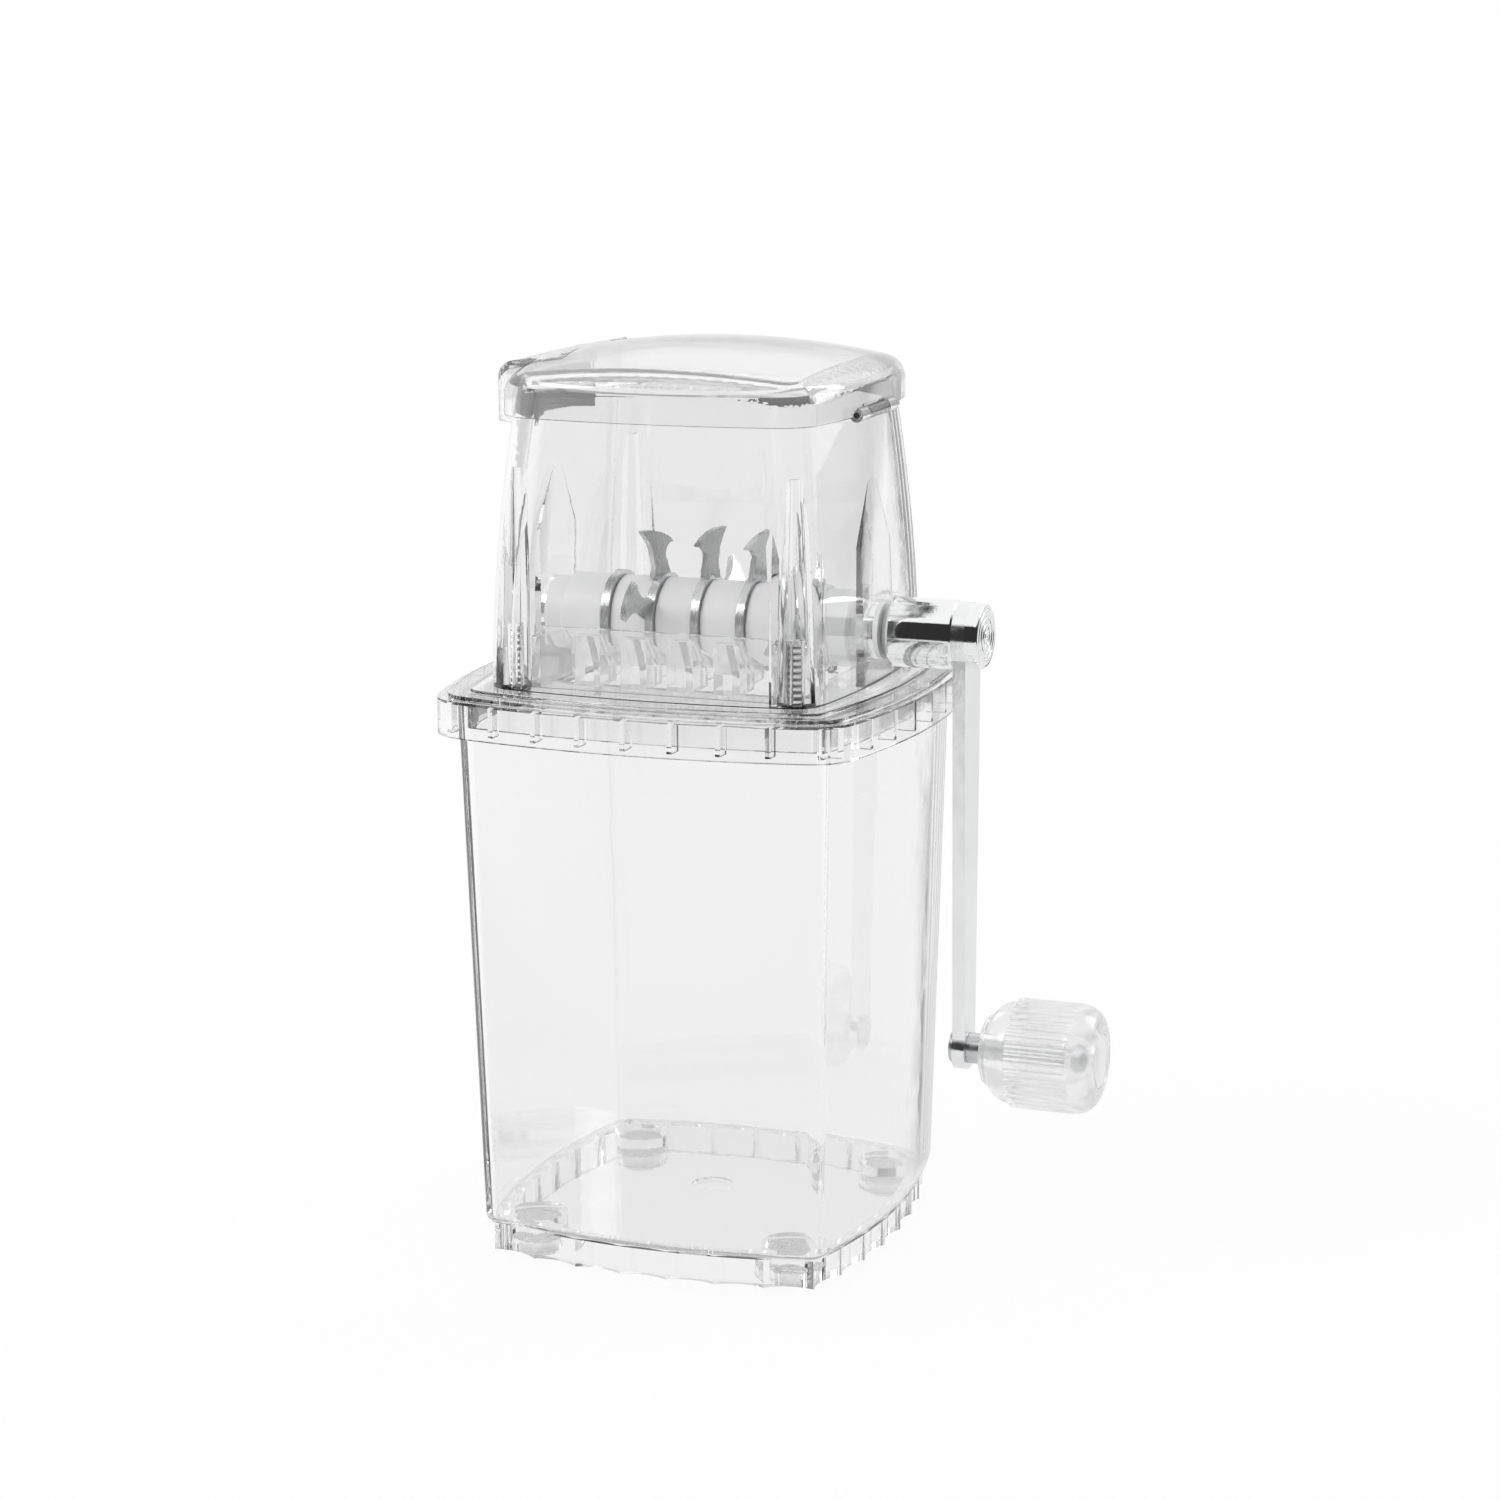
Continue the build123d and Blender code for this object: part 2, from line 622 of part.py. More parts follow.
def make_comb(side):
    """Fixed comb: upright plate with end returns and teeth that reach between the blades."""
    low = hopper_z
    high = low + comb_height
    face = Polyline((-comb_half, low), (comb_half, low), (comb_half, high - comb_chamfer),
                    (comb_half - comb_chamfer, high), (-comb_half + comb_chamfer, high),
                    (-comb_half, high - comb_chamfer), close=True)
    plate = extrude(Plane.XZ.offset(comb_y - comb_wall) * make_face(face), amount=comb_wall)
    parts = [plate]
    inner = comb_y - comb_wall
    root, under, top = inner + comb_wall / 2, low + comb_tooth_low, high - comb_tooth_drop
    reach = claw_radius + comb_wall
    rear = ((root, under), (root, top), (inner - comb_tooth_root, top))
    thick = rear + ((reach, under + comb_tooth_tip), (reach, under))
    thin = rear + ((comb_fin_inner, under + comb_tooth_tip), (comb_fin_inner, under))
    shapes = ((thick, comb_tooth_width), (thin, comb_fin_width))
    for x in [blade_first + (n + 0.5) * blade_pitch for n in range(blade_count - 1)]:
        for points, width in shapes:
            profile = mirror(make_face(Polyline(*points, close=True)), Plane.YZ)
            parts.append(extrude(Plane.YZ.offset(x - width / 2) * profile, amount=width))
    back = inner - comb_return
    return_top = high - comb_return_drop
    side_face = make_face(Polyline((-root, low), (-back, low), (-back, return_top - comb_chamfer),
                                   (-back - comb_chamfer, return_top), (-root, high - comb_chamfer),
                                   close=True))
    for x in (-comb_half, comb_half - comb_wall):
        parts.append(extrude(Plane.YZ.offset(x) * side_face, amount=comb_wall))
    body = join(parts[0], parts[1:])
    return single(body if side < 0 else mirror(body, Plane.XZ))


# ---------------------------------------------------------------- crank and knob
def make_hub():
    """Chrome sleeve on the shaft's square end."""
    sleeve = cylinder_x(hub_radius, hub_start, hub_end, 0, axis_z)
    sleeve = chamfer(sleeve.edges().group_by(Axis.X)[0], hub_taper)
    sleeve = chamfer(sleeve.edges().group_by(Axis.X)[-1], hub_edge)
    seat_end = hub_start + journal_into_hub + run_gap
    sleeve = sleeve - cylinder_x(shaft_journal / 2 + run_gap, hub_start, seat_end, 0, axis_z)
    return single(sleeve - square_x(shaft_tail + 2 * run_gap, hub_start, hub_end, axis_z))


def make_arm():
    """Flat tapered bar that hangs from the hub to the knob's pin."""
    top_w, low_w = arm_top_width / 2, arm_low_width / 2
    bar = Polyline((-top_w, axis_z), (top_w, axis_z), (low_w, knob_z), (-low_w, knob_z), close=True)
    shape = make_face(bar)
    shape = shape + Pos(0, axis_z) * Circle(arm_eye_radius) + Pos(0, knob_z) * Circle(arm_low_radius)
    shape = shape - Pos(0, axis_z) * Circle(stud_radius + run_gap)
    shape = shape - Pos(0, knob_z) * Circle(pin_radius + run_gap)
    arm = extrude(Plane.YZ.offset(arm_start) * shape, amount=arm_thickness)
    return single(arm)


def make_cap_nut():
    """Domed chrome nut that clamps the arm to the hub, ringed on its end face."""
    nut = cylinder_x(cap_radius, arm_end, arm_end + cap_length, 0, axis_z)
    nut = fillet(nut.edges().group_by(Axis.X)[-1], cap_round)
    face_x = arm_end + cap_length
    for r in cap_grooves:
        groove = cylinder_x(r + cap_groove, face_x - cap_groove_depth, face_x, 0, axis_z)
        nut = nut - (groove - cylinder_x(r, face_x - cap_groove_depth, face_x, 0, axis_z))
    return single(nut - cylinder_x(stud_radius + run_gap, arm_end, arm_end + cap_bore, 0, axis_z))


def make_knob_pin():
    """Pin riveted through the arm, with a slotted head that holds the knob."""
    head_at = knob_end - knob_well_depth + run_gap + washer_thickness + run_gap
    head_end = head_at + pin_head_length
    rivet_radius, rivet_height = pin_rivet
    back = arm_start - rivet_height
    pin = cylinder_x(pin_radius, back, head_end, 0, knob_z)
    rivet = cylinder_x(rivet_radius, back, arm_start - run_gap, 0, knob_z)
    shoulder = cylinder_x(pin_shoulder_radius, arm_end + run_gap, knob_x - run_gap, 0, knob_z)
    head = cylinder_x(pin_head_radius, head_at, head_end, 0, knob_z)
    width, depth = pin_slot
    slot = box(head_end - depth, head_end, -pin_head_radius, pin_head_radius,
               knob_z - width / 2, knob_z + width / 2)
    return single(join(pin, [rivet, shoulder, head]) - slot)


def make_knob_washer():
    """Washer between the knob's well and the pin's head."""
    start = knob_end - knob_well_depth + run_gap
    ring = cylinder_x(washer_radius, start, start + washer_thickness, 0, knob_z)
    return single(ring - cylinder_x(pin_radius + run_gap, start, start + washer_thickness, 0, knob_z))


def make_knob():
    """Clear turning knob, ribbed round its middle."""
    r, n, length = knob_radius, knob_neck_radius, knob_length
    end = length - knob_end_length
    profile = [
        Line((0, 0), (0, n - 2)),
        ThreePointArc((0, n - 2), (0.6, n - 0.6), (2, n)),
        ThreePointArc((2, n), (0.6 * knob_shoulder, 0.25 * n + 0.75 * knob_grip_start),
                      (knob_shoulder, knob_grip_start)),
        Line((knob_shoulder, knob_grip_start), (end, r)),
        ThreePointArc((end, r), (length - 1.6, r - 1.6), (length, knob_end_radius)),
        Line((length, knob_end_radius), (length, 0)),
        Line((length, 0), (0, 0)),
    ]
    body = revolve(make_face(profile), Axis.X)
    rib = Pos(knob_rib_start + knob_rib_length / 2, knob_radius - knob_rib_in, 0) * Rot(0, 90, 0)
    rib = rib * Cylinder(knob_rib_radius, knob_rib_length)
    body = body + [Rot(360 / knob_ribs * i, 0, 0) * rib for i in range(knob_ribs)]
    body = Pos(knob_x, 0, knob_z) * body
    body = body - cylinder_x(pin_radius + run_gap, knob_x, knob_end, 0, knob_z)
    return single(body - cylinder_x(knob_well_radius, knob_end - knob_well_depth, knob_end, 0, knob_z))


def make_knob_cap():
    """Clear plug that closes the knob's well."""
    face_x = knob_end + knob_cap_proud
    cap = cylinder_x(knob_well_radius - run_gap, face_x - knob_cap_thickness, face_x, 0, knob_z)
    return single(chamfer(cap.edges().group_by(Axis.X)[-1], knob_cap_chamfer))


# ---------------------------------------------------------------- every piece by its node's name
def pieces():
    """All the sub-parts: node name and its solid or solids."""
    made = {"bin": make_bin(), "collar": make_collar(), "housing_screws": make_housing_screws(),
            "hopper": make_hopper(), "lid": make_lid(), "lid_hinge_pin": make_hinge_pin(),
            "shaft": make_shaft(), "bush_right": make_bush(), "comb_front": make_comb(-1),
            "comb_rear": make_comb(1), "crank_hub": make_hub(), "crank_arm": make_arm(),
            "crank_cap_nut": make_cap_nut(), "knob_pin": make_knob_pin(),
            "knob_washer": make_knob_washer(), "knob": make_knob(), "knob_cap": make_knob_cap()}
    for n, (x, y) in enumerate(foot_places(), 1):
        made[f"foot_{n}"] = make_foot(x, y)
    for n, (x, turn, lean) in enumerate(zip(blade_places(), blade_turns, claw_leans), 1):
        made[f"blade_{n}"] = make_blade(x, turn, lean)
    for n, solid in enumerate(make_spacers(), 1):
        made[f"spacer_{n}"] = solid
    return made


os.makedirs("parts", exist_ok=True)
for name, made in pieces().items():
    shape = Compound(children=made) if isinstance(made, list) else made
    shape.label = name
    export_step(shape, f"parts/{name}.step")
    print(name, "volume", round(shape.volume, 1))
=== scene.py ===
import bpy
import math
from mathutils import Matrix, Vector

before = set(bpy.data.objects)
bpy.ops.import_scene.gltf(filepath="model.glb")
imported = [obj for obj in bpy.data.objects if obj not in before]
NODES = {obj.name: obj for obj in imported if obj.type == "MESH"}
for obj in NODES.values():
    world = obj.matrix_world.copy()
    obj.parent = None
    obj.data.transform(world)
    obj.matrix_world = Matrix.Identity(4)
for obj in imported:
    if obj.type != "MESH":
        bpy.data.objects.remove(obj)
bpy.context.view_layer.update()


# ------------------------------------------------------------------ camera, as the photograph's
AZIMUTH, ELEVATION, ROLL = math.radians(20.79), math.radians(12.04), math.radians(-0.27)
DISTANCE, ASIDE, TARGET_Z = 0.96363, 0.01028, 0.13014     # metres
FOCAL_PIXELS, IMAGE_PIXELS = 3660.8, 1500
SENSOR = 36.0                                             # millimetres
CLIP = (0.05, 50.0)


def make_camera():
    """The camera fitted to the photograph's outline."""
    back = Vector((math.sin(AZIMUTH) * math.cos(ELEVATION),
                   -math.cos(AZIMUTH) * math.cos(ELEVATION),
                   math.sin(ELEVATION)))
    right = Vector((math.cos(AZIMUTH), math.sin(AZIMUTH), 0.0))
    up = back.cross(right)
    eye = back * DISTANCE + right * ASIDE + Vector((0, 0, TARGET_Z))
    turned_right = right * math.cos(ROLL) + up * math.sin(ROLL)
    turned_up = up * math.cos(ROLL) - right * math.sin(ROLL)
    data = bpy.data.cameras.new("camera")
    data.sensor_width = SENSOR
    data.lens = SENSOR * FOCAL_PIXELS / IMAGE_PIXELS
    data.clip_start, data.clip_end = CLIP
    camera = bpy.data.objects.new("camera", data)
    turn = Matrix((turned_right, turned_up, back)).transposed().to_4x4()
    camera.matrix_world = Matrix.Translation(eye) @ turn
    bpy.context.collection.objects.link(camera)
    bpy.context.scene.camera = camera


# ------------------------------------------------------------------ materials
def new_material(name):
    """A material with its node tree and shader."""
    mat = bpy.data.materials.new(name)
    mat.use_nodes = True
    tree = mat.node_tree
    return mat, tree, tree.nodes["Principled BSDF"]


def add_node(tree, kind, **inputs):
    """A node with its inputs set; an underscore in a name stands for a space."""
    node = tree.nodes.new(kind)
    for key, value in inputs.items():
        node.inputs[key.replace("_", " ")].default_value = value
    return node


def object_coordinates(tree, stretch=(1, 1, 1)):
    place = tree.nodes.new("ShaderNodeTexCoord")
    mapping = tree.nodes.new("ShaderNodeMapping")
    mapping.inputs["Scale"].default_value = stretch
    tree.links.new(place.outputs["Object"], mapping.inputs["Vector"])
    return mapping.outputs["Vector"]


def noise(tree, scale, detail, stretch=(1, 1, 1)):
    node = add_node(tree, "ShaderNodeTexNoise", Scale=scale, Detail=detail)
    tree.links.new(object_coordinates(tree, stretch), node.inputs["Vector"])
    return node.outputs["Fac"]


def grey_of(level):
    return (level, level, level, 1)


def ramp(tree, source, stops):
    """A colour ramp; each stop is a place and a grey level or a colour."""
    node = tree.nodes.new("ShaderNodeValToRGB")
    elements = node.color_ramp.elements
    while len(elements) < len(stops):
        elements.new(0.5)
    for element, (at, value) in zip(elements, stops):
        element.position = at
        element.color = grey_of(value) if isinstance(value, float) else (*value, 1)
    tree.links.new(source, node.inputs["Fac"])
    return node.outputs["Color"]


def bump(tree, source, strength, distance, under=None):
    """The normal after bumps of a height, on top of the normal under it."""
    node = add_node(tree, "ShaderNodeBump", Strength=strength, Distance=distance)
    tree.links.new(source, node.inputs["Height"])
    if under is not None:
        tree.links.new(under, node.inputs["Normal"])
    return node.outputs["Normal"]


def ramp_of(tree, source, start, end):
    """0 at start and 1 at end of a value, smoothly."""
    node = tree.nodes.new("ShaderNodeMapRange")
    node.interpolation_type = "SMOOTHSTEP"
    rising = start < end
    node.inputs["From Min"].default_value = min(start, end)
    node.inputs["From Max"].default_value = max(start, end)
    node.inputs["To Min"].default_value = 0 if rising else 1
    node.inputs["To Max"].default_value = 1 if rising else 0
    tree.links.new(source, node.inputs["Value"])
    return node.outputs["Result"]


def math_node(tree, operation, first, second):
    """One Math node; each side is an output or a number."""
    node = tree.nodes.new("ShaderNodeMath")
    node.operation = operation
    for n, value in enumerate((first, second)):
        if isinstance(value, (int, float)):
            node.inputs[n].default_value = value
        else:
            tree.links.new(value, node.inputs[n])
    return node.outputs[0]


def mixed(tree, factor, first, second):
    """The first shader at factor 0 and the second at 1."""
    mix = tree.nodes.new("ShaderNodeMixShader")
    tree.links.new(factor, mix.inputs[0])
    tree.links.new(first, mix.inputs[1])
    tree.links.new(second, mix.inputs[2])
    return mix.outputs[0]


PASSING = 0.97                    # what a lamp's ray keeps at each surface
CLEAR_TINT = (0.99, 0.99, 0.99)
GRAZING_SHADE_FROM = 0.80                   # Facing value from which a surface seen along its face greys, as painted shade
GRAZING_SHADE_TINT = (0.45, 0.45, 0.45)     # and the tint of that painted shade at grazing edges
PLASTIC_IOR = 1.53
BODY_COLOR = (0.60, 0.61, 0.61)   # of the clear plastics' absorption
HANDLING_SCALE, HANDLING_STOPS = 90.0, (0.35, 0.75)
FLOW_SCALE, FLOW_STRETCH, FLOW_DEPTH = 22.0, (1, 1, 0.45), 0.002
FINE_SCALE, FINE_STRENGTH, FINE_DEPTH = 900.0, 0.02, 0.0002
LOOKS = 2                         # bounces up to which the uneven normal counts


def let_light_in(tree, shader, deep, deep_tint):
    """Lets lamps' and diffuse rays through a plastic, and darkens rays trapped in its walls.

    A ray past that many bounces goes straight out, with a tint. That isn't physical, but
    gives the thin grey lines at the edges.
    """
    path = tree.nodes.new("ShaderNodeLightPath")
    light = math_node(tree, "MAXIMUM", path.outputs["Is Shadow Ray"],
                      path.outputs["Is Diffuse Ray"])
    trapped = math_node(tree, "GREATER_THAN", path.outputs["Ray Depth"], deep)
    passing = add_node(tree, "ShaderNodeBsdfTransparent", Color=grey_of(PASSING))
    leaving = add_node(tree, "ShaderNodeBsdfTransparent", Color=grey_of(deep_tint))
    surface = mixed(tree, trapped, shader.outputs[0], leaving.outputs[0])
    surface = mixed(tree, light, surface, passing.outputs[0])
    tree.links.new(surface, tree.nodes["Material Output"].inputs["Surface"])


def first_look(tree, normal):
    """The uneven normal for the first surfaces on a ray, and the plain one after them."""
    path = tree.nodes.new("ShaderNodeLightPath")
    plain = tree.nodes.new("ShaderNodeNewGeometry")
    mix = tree.nodes.new("ShaderNodeMix")
    mix.data_type = "VECTOR"
    later = math_node(tree, "GREATER_THAN", path.outputs["Ray Depth"], LOOKS)
    tree.links.new(later, mix.inputs["Factor"])
    tree.links.new(normal, mix.inputs[4])
    tree.links.new(plain.outputs["Normal"], mix.inputs[5])
    return mix.outputs[1]


def clear_plastic(name, wave, density, deep, deep_tint, milk=0.0, rough=(0.0, 0.025)):
    """Injection-moulded clear plastic: flow waves, handling marks, a slight body colour, and
    painted shade greying the surfaces seen edge-on.
    """
    mat, tree, shader = new_material(name)
    facing = add_node(tree, "ShaderNodeLayerWeight", Blend=0.5)
    # painted shade: the base colour greys where a surface is seen edge-on, giving the dark edges
    # of clear plastic
    rim = ramp(tree, facing.outputs["Facing"],
               [(0.0, CLEAR_TINT), (GRAZING_SHADE_FROM, CLEAR_TINT), (1.0, GRAZING_SHADE_TINT)])
    tree.links.new(rim, shader.inputs["Base Color"])
    shader.inputs["Transmission Weight"].default_value = 1.0 - milk
    shader.inputs["IOR"].default_value = PLASTIC_IOR
    spread = ramp(tree, noise(tree, HANDLING_SCALE, 4.0), list(zip(HANDLING_STOPS, rough)))
    tree.links.new(spread, shader.inputs["Roughness"])
    flow = bump(tree, noise(tree, FLOW_SCALE, 1.0, FLOW_STRETCH), wave, FLOW_DEPTH)
    fine = bump(tree, noise(tree, FINE_SCALE, 2.0), FINE_STRENGTH, FINE_DEPTH, flow)
    tree.links.new(first_look(tree, fine), shader.inputs["Normal"])
    inside = add_node(tree, "ShaderNodeVolumeAbsorption", Color=(*BODY_COLOR, 1),
                      Density=density)
    tree.links.new(inside.outputs["Volume"], tree.nodes["Material Output"].inputs["Volume"])
    let_light_in(tree, shader, deep, deep_tint)
    return mat


TONE_STOPS = (0.3, 0.7)                      # noise levels between which a surface varies
METAL_TONE, METAL_TONE_SCALE = 0.94, 60.0    # darkest part of its colour, and its patches
METAL_SPREAD_SCALE, METAL_LINE_SCALE, METAL_LINE_DEPTH = 400.0, 1500.0, 0.0002
MOULD_TONE, MOULD_TONE_SCALE = 0.93, 70.0
MOULD_SPREAD_SCALE, PORE_SCALE, PORE_DEPTH = 300.0, 1800.0, 0.0003
SMOOTHER, ROUGHER = 0.06, 0.08               # how far a moulded surface's roughness varies


def varied_tone(tree, color, darkest, scale):
    """A colour with patches a little darker."""
    dark = tuple(c * darkest for c in color)
    return ramp(tree, noise(tree, scale, 4.0), [(TONE_STOPS[0], dark), (TONE_STOPS[1], color)])


def moulded_roughness(tree, rough):
    return ramp(tree, noise(tree, MOULD_SPREAD_SCALE, 3.0),
                [(TONE_STOPS[0], rough - SMOOTHER), (TONE_STOPS[1], rough + ROUGHER)])


def metal(name, color, rough, grain, grain_strength):
    """Bright metal with a directional grain and slight unevenness."""
    mat, tree, shader = new_material(name)
    shader.inputs["Metallic"].default_value = 1.0
    tone = varied_tone(tree, color, METAL_TONE, METAL_TONE_SCALE)
    tree.links.new(tone, shader.inputs["Base Color"])
    spread = ramp(tree, noise(tree, METAL_SPREAD_SCALE, 3.0, grain),
                  list(zip(TONE_STOPS, rough)))
    tree.links.new(spread, shader.inputs["Roughness"])
    lines = bump(tree, noise(tree, METAL_LINE_SCALE, 2.0, grain), grain_strength,
                 METAL_LINE_DEPTH)
    tree.links.new(lines, shader.inputs["Normal"])
    return mat


def even_waves(tree, kind, direction, pitch, place=(0, 0, 0)):
    """Even waves of a pitch in metres: bands along a direction, or rings about one at a place.

    The node turns its coordinate by 20 times its scale, in radians.
    """
    node = add_node(tree, "ShaderNodeTexWave", Scale=2 * math.pi / (20 * pitch))
    node.wave_type = kind
    setattr(node, "bands_direction" if kind == "BANDS" else "rings_direction", direction)
    mapping = add_node(tree, "ShaderNodeMapping", Location=tuple(-v for v in place))
    source = tree.nodes.new("ShaderNodeTexCoord")
    tree.links.new(source.outputs["Object"], mapping.inputs["Vector"])
    tree.links.new(mapping.outputs["Vector"], node.inputs["Vector"])
    return node.outputs["Fac"]


def cut(mat, waves, strength, distance):
    """Adds waves to the normal of a metal, under its own grain."""
    tree = mat.node_tree
    normal = tree.nodes["Principled BSDF"].inputs["Normal"]
    grain = normal.links[0].from_node
    tree.links.new(bump(tree, waves, strength, distance), grain.inputs["Normal"])


def moulded(name, color, rough, pore):
    """Opaque moulded plastic with a fine texture."""
    mat, tree, shader = new_material(name)
    tone = varied_tone(tree, color, MOULD_TONE, MOULD_TONE_SCALE)
    tree.links.new(tone, shader.inputs["Base Color"])
    tree.links.new(moulded_roughness(tree, rough), shader.inputs["Roughness"])
    pores = bump(tree, noise(tree, PORE_SCALE, 2.0), pore, PORE_DEPTH)
    tree.links.new(pores, shader.inputs["Normal"])
    return mat


SOFT_CLARITY, SOFT_IOR, SOFT_DEEP = 0.75, 1.42, (12, 0.8)


def soft_clear(name, tint, rough):
    """Milky soft plastic of the feet."""
    mat, tree, shader = new_material(name)
    shader.inputs["Base Color"].default_value = (*tint, 1)
    shader.inputs["Transmission Weight"].default_value = SOFT_CLARITY
    shader.inputs["IOR"].default_value = SOFT_IOR
    tree.links.new(moulded_roughness(tree, rough), shader.inputs["Roughness"])
    let_light_in(tree, shader, *SOFT_DEEP)
    return mat


SHARP_ANGLE = math.radians(28)


def dress(mat, *names):
    """Gives nodes a material and smooths their faces up to the sharp edges."""
    for name in names:
        obj = NODES[name]
        for slot in obj.material_slots:
            slot.link = "OBJECT"
            slot.material = mat
        faces = obj.data.polygons
        faces.foreach_set("use_smooth", [True] * len(faces))
        obj.data.set_sharp_from_angle(angle=SHARP_ANGLE)


def numbered(name, count):
    return [f"{name}_{n}" for n in range(1, count + 1)]


THREAD_PITCH, THREAD_STRENGTH, THREAD_DEPTH = 0.0016, 0.8, 0.0006    # of the screws, bump only
RING_PITCH, RING_STRENGTH, RING_DEPTH = 0.0018, 0.6, 0.0005          # of the cap nut, bump only
AXIS = (0, 0, 0.165)                                                 # on the rotor's axis
EVEN = (1, 1, 1)                                                     # grain without a direction
CHROME = (0.93, 0.935, 0.94)


def dress_clear():
    """The clear pieces; deep is a number of bounces and deep_tint what a ray keeps past it."""
    dress(clear_plastic("clear_bin", wave=0.2, density=8.0, deep=10, deep_tint=0.6), "bin")
    dress(clear_plastic("clear_collar", wave=0.2, density=6.0, deep=7, deep_tint=0.35),
          "collar")
    dress(clear_plastic("clear_hopper", wave=0.25, density=5.0, deep=7, deep_tint=0.5),
          "hopper")
    dress(clear_plastic("clear_lid", wave=0.3, density=3.0, deep=5, deep_tint=0.15,
                        milk=0.06), "lid")
    dress(clear_plastic("clear_knob", wave=0.15, density=2.0, deep=12, deep_tint=0.7,
                        milk=0.22, rough=(0.10, 0.2)), "knob", "knob_cap")
    dress(clear_plastic("clear_comb", wave=0.2, density=1.0, deep=9, deep_tint=0.85,
                        milk=0.17, rough=(0.0, 0.05)), "comb_front", "comb_rear")
    dress(soft_clear("soft_feet", (0.93, 0.93, 0.93), 0.3), *numbered("foot", 4))


def dress_metal():
    """Each metal has its colour, its range of roughness, its grain's stretch and strength."""
    chrome = metal("chrome", CHROME, (0.03, 0.08), EVEN, 0.03)
    turned = metal("turned_chrome", CHROME, (0.03, 0.08), EVEN, 0.03)
    rings = even_waves(turned.node_tree, "RINGS", "X", RING_PITCH, AXIS)
    cut(turned, rings, RING_STRENGTH, RING_DEPTH)
    bar = metal("chrome_bar", (0.90, 0.905, 0.91), (0.12, 0.22), (1, 8, 0.3), 0.08)
    stainless = metal("stainless", (0.66, 0.665, 0.67), (0.16, 0.32), (8, 1, 0.5), 0.15)
    steel = metal("steel", (0.6, 0.61, 0.62), (0.2, 0.35), EVEN, 0.1)
    dark = metal("dark_steel", (0.12, 0.12, 0.125), (0.2, 0.35), EVEN, 0.1)
    screw = metal("screw_steel", (0.8, 0.805, 0.81), (0.15, 0.3), EVEN, 0.05)
    threads = even_waves(screw.node_tree, "BANDS", "Z", THREAD_PITCH)
    cut(screw, threads, THREAD_STRENGTH, THREAD_DEPTH)
    dress(chrome, "crank_hub")
    dress(turned, "crank_cap_nut")
    dress(bar, "crank_arm")
    dress(stainless, *numbered("blade", 5))
    dress(steel, "shaft", "knob_pin", "knob_washer")
    dress(dark, "lid_hinge_pin")
    dress(screw, "housing_screws")


def dress_nylon():
    dress(moulded("grey_nylon", (0.84, 0.84, 0.85), 0.42, 0.08), *numbered("spacer", 6))
    dress(moulded("white_nylon", (0.82, 0.83, 0.83), 0.35, 0.06), "bush_right")


# ------------------------------------------------------------------ studio
# Ranges are in the order in which what they fade grows. World ranges are parts of a direction
# and floor ranges are metres from the middle.
AMBIENT = 0.78                       # the world as matt surfaces see it
MIRROR_DARK = 0.03                   # the dark parts as metal shows them
WORLD_THROUGH, FLOOR_THROUGH = 0.30, 0.62    # and as they are seen through plastic
FRONT_FLAG, RIGHT_FLAG, FLAG_TOP = (-0.15, -0.40), (0.75, 0.88), (0.68, 0.64)
BACK_GREY, BACK_TOP, BACK_FROM = 0.70, (0.50, 0.30), (0.0, 0.3)    # the low back, through plastic
FLOOR_FLAG_Y, FLOOR_FLAG_X = (-0.60, -0.85), (0.60, 0.85)
FLOOR_HALF, FLOOR_DROP, FLOOR_COLOR, FLOOR_MIRROR = 8.0, 0.0002, 0.96, 0.86
GLOW_NEAR, GLOW_RANGE = 0.8, (0.15, 0.55)    # share of glow near the object, where its shadow is
# A pale grey strip of the floor, seen through plastic only. It was laid out for the
# photograph's view: it widens backwards from below that camera, along its azimuth.
STRIP_GREY = 0.90
STRIP_FROM, STRIP_TURN = (0.334, -0.885, 0), AZIMUTH
STRIP_EDGE = (0.15, 0.085)           # half its width over its length


def grey_between(tree, factor, at_zero, at_one):
    return ramp(tree, factor, [(0.0, at_zero), (1.0, at_one)])


def make_world():
    """White all round to the camera, with dark flags in front and to the right.

    Gloss and plastic show the flags, up to their top.
    """
    world = bpy.data.worlds.new("studio")
    world.use_nodes = True
    bpy.context.scene.world = world
    tree = world.node_tree
    tree.nodes.clear()
    out = tree.nodes.new("ShaderNodeOutputWorld")
    path = tree.nodes.new("ShaderNodeLightPath")
    place = tree.nodes.new("ShaderNodeTexCoord")
    split = tree.nodes.new("ShaderNodeSeparateXYZ")
    tree.links.new(place.outputs["Generated"], split.inputs[0])
    x, y, z = split.outputs["X"], split.outputs["Y"], split.outputs["Z"]
    front = ramp_of(tree, y, *FRONT_FLAG)
    right = ramp_of(tree, x, *RIGHT_FLAG)
    under = ramp_of(tree, z, *FLAG_TOP)
    flag = math_node(tree, "MULTIPLY", math_node(tree, "MAXIMUM", front, right), under)
    low = math_node(tree, "MULTIPLY", ramp_of(tree, z, *BACK_TOP), ramp_of(tree, y, *BACK_FROM))
    white = add_node(tree, "ShaderNodeBackground", Color=grey_of(1.0), Strength=AMBIENT)
    shader = white.outputs[0]
    for light, dark in (("Is Glossy Ray", MIRROR_DARK), ("Is Transmission Ray", WORLD_THROUGH),
                        ("Is Camera Ray", 1.0)):
        background = tree.nodes.new("ShaderNodeBackground")
        level = grey_between(tree, flag, 1.0, dark)
        if light == "Is Transmission Ray":
            level = math_node(tree, "MULTIPLY", level, grey_between(tree, low, 1.0, BACK_GREY))
        tree.links.new(level, background.inputs["Color"])
        shader = mixed(tree, path.outputs[light], shader, background.outputs[0])
    tree.links.new(shader, out.inputs["Surface"])


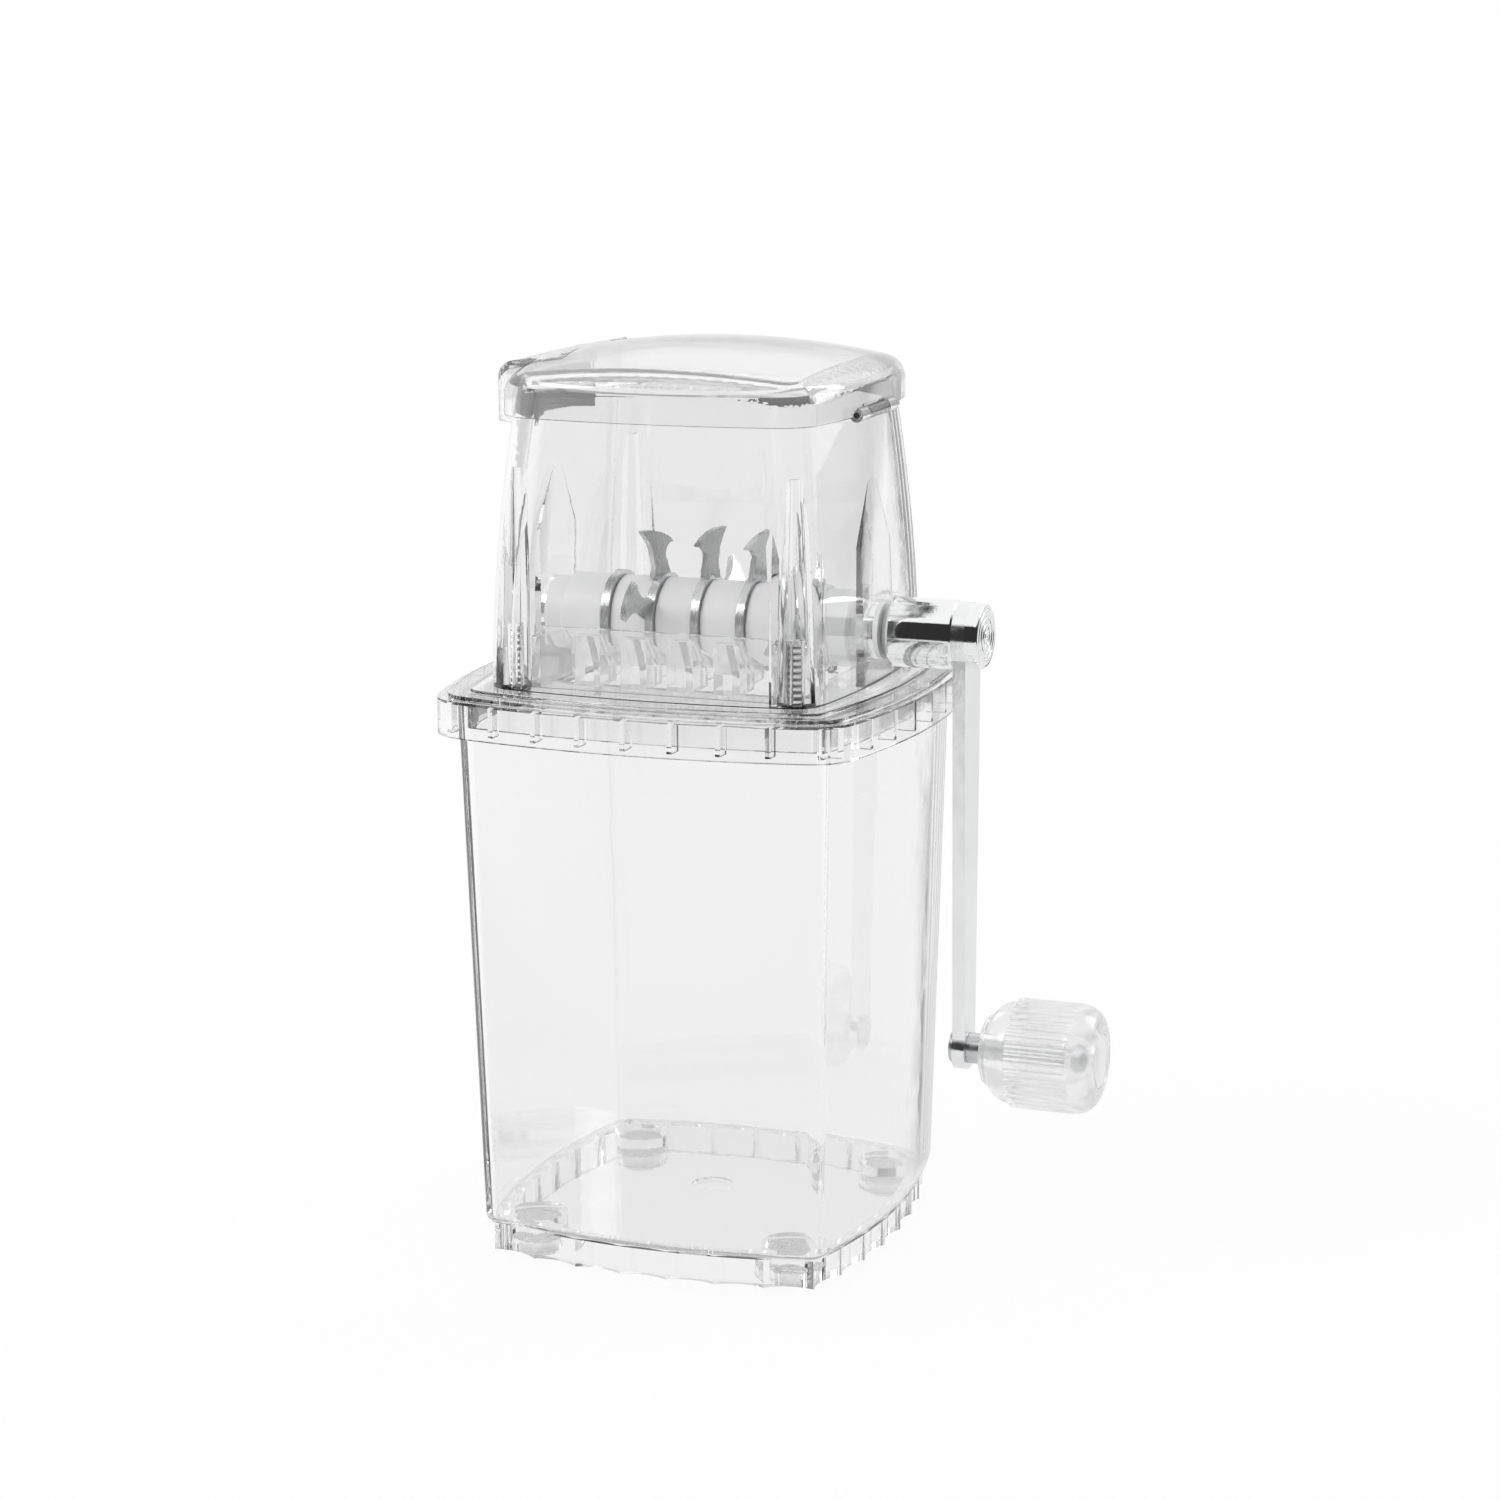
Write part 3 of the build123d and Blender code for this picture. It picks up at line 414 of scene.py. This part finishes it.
def strip_on(tree, place):
    """1 on the floor's grey strip and 0 beside it."""
    turned = tree.nodes.new("ShaderNodeMapping")
    turned.vector_type = "TEXTURE"
    turned.inputs["Location"].default_value = STRIP_FROM
    turned.inputs["Rotation"].default_value = (0, 0, STRIP_TURN)
    tree.links.new(place.outputs["Object"], turned.inputs["Vector"])
    split = tree.nodes.new("ShaderNodeSeparateXYZ")
    tree.links.new(turned.outputs["Vector"], split.inputs[0])
    aside, along = split.outputs["X"], split.outputs["Y"]
    slope = math_node(tree, "DIVIDE", math_node(tree, "ABSOLUTE", aside, 0.0), along)
    return math_node(tree, "MULTIPLY", ramp_of(tree, slope, *STRIP_EDGE),
                     math_node(tree, "GREATER_THAN", along, 0.0))


def floor_material():
    """White floor that glows less near the object, to keep its faint shadow there."""
    mat = bpy.data.materials.new("floor")
    mat.use_nodes = True
    tree = mat.node_tree
    tree.nodes.clear()
    out = tree.nodes.new("ShaderNodeOutputMaterial")
    matte = add_node(tree, "ShaderNodeBsdfDiffuse", Color=grey_of(FLOOR_COLOR))
    path = tree.nodes.new("ShaderNodeLightPath")
    place = tree.nodes.new("ShaderNodeTexCoord")
    split = tree.nodes.new("ShaderNodeSeparateXYZ")
    tree.links.new(place.outputs["Object"], split.inputs[0])
    away = tree.nodes.new("ShaderNodeVectorMath")
    away.operation = "LENGTH"
    tree.links.new(place.outputs["Object"], away.inputs[0])
    far = ramp_of(tree, away.outputs["Value"], *GLOW_RANGE)
    share = math_node(tree, "ADD", math_node(tree, "MULTIPLY", far, 1.0 - GLOW_NEAR), GLOW_NEAR)
    flag = math_node(tree, "MAXIMUM", ramp_of(tree, split.outputs["Y"], *FLOOR_FLAG_Y),
                     ramp_of(tree, split.outputs["X"], *FLOOR_FLAG_X))
    strip = strip_on(tree, place)
    shader = matte.outputs[0]
    for light, near, dark in (("Is Glossy Ray", FLOOR_MIRROR, MIRROR_DARK),
                              ("Is Transmission Ray", 1.0, FLOOR_THROUGH),
                              ("Is Camera Ray", 1.0, 1.0)):
        glow = tree.nodes.new("ShaderNodeEmission")
        level = grey_between(tree, flag, near, dark)
        if light == "Is Transmission Ray":
            level = math_node(tree, "MULTIPLY", level,
                              grey_between(tree, strip, 1.0, STRIP_GREY))
        tree.links.new(level, glow.inputs["Color"])
        factor = math_node(tree, "MULTIPLY", path.outputs[light], share)
        shader = mixed(tree, factor, shader, glow.outputs[0])
    tree.links.new(shader, out.inputs["Surface"])
    return mat


def make_floor():
    """Plain floor under the feet, which isn't part of the object."""
    mesh = bpy.data.meshes.new("floor")
    half = FLOOR_HALF
    corners = [(-half, -half, 0), (half, -half, 0), (half, half, 0), (-half, half, 0)]
    mesh.from_pydata(corners, [], [(0, 1, 2, 3)])
    mesh.materials.append(floor_material())
    floor = bpy.data.objects.new("floor", mesh)
    floor.location.z = -FLOOR_DROP
    bpy.context.collection.objects.link(floor)


LAMP_AIM = (0, 0, 0.12)


def softbox(name, place, size, power):
    """A rectangular lamp turned to the object's middle; sizes in metres, power in watts."""
    data = bpy.data.lights.new(name, "AREA")
    data.shape = "RECTANGLE"
    data.size, data.size_y = size
    data.energy = power
    lamp = bpy.data.objects.new(name, data)
    lamp.location = place
    aim = Vector(LAMP_AIM) - Vector(place)
    lamp.rotation_euler = aim.to_track_quat("-Z", "Y").to_euler()
    bpy.context.collection.objects.link(lamp)


BOUNCES, CLEAR_BOUNCES = 32, 28      # rays inside the clear walls count as glossy bounces too


def set_bounces():
    cycles = bpy.context.scene.cycles
    cycles.max_bounces = cycles.transparent_max_bounces = BOUNCES
    cycles.transmission_bounces = cycles.glossy_bounces = CLEAR_BOUNCES


make_camera()
make_world()
make_floor()
softbox("key", (-0.9, -0.8, 1.1), (0.6, 0.6), 6.0)
softbox("rim", (0.9, 0.9, 0.8), (0.5, 0.9), 4.0)
bpy.context.scene.view_settings.view_transform = "Standard"
set_bounces()
dress_clear()
dress_metal()
dress_nylon()
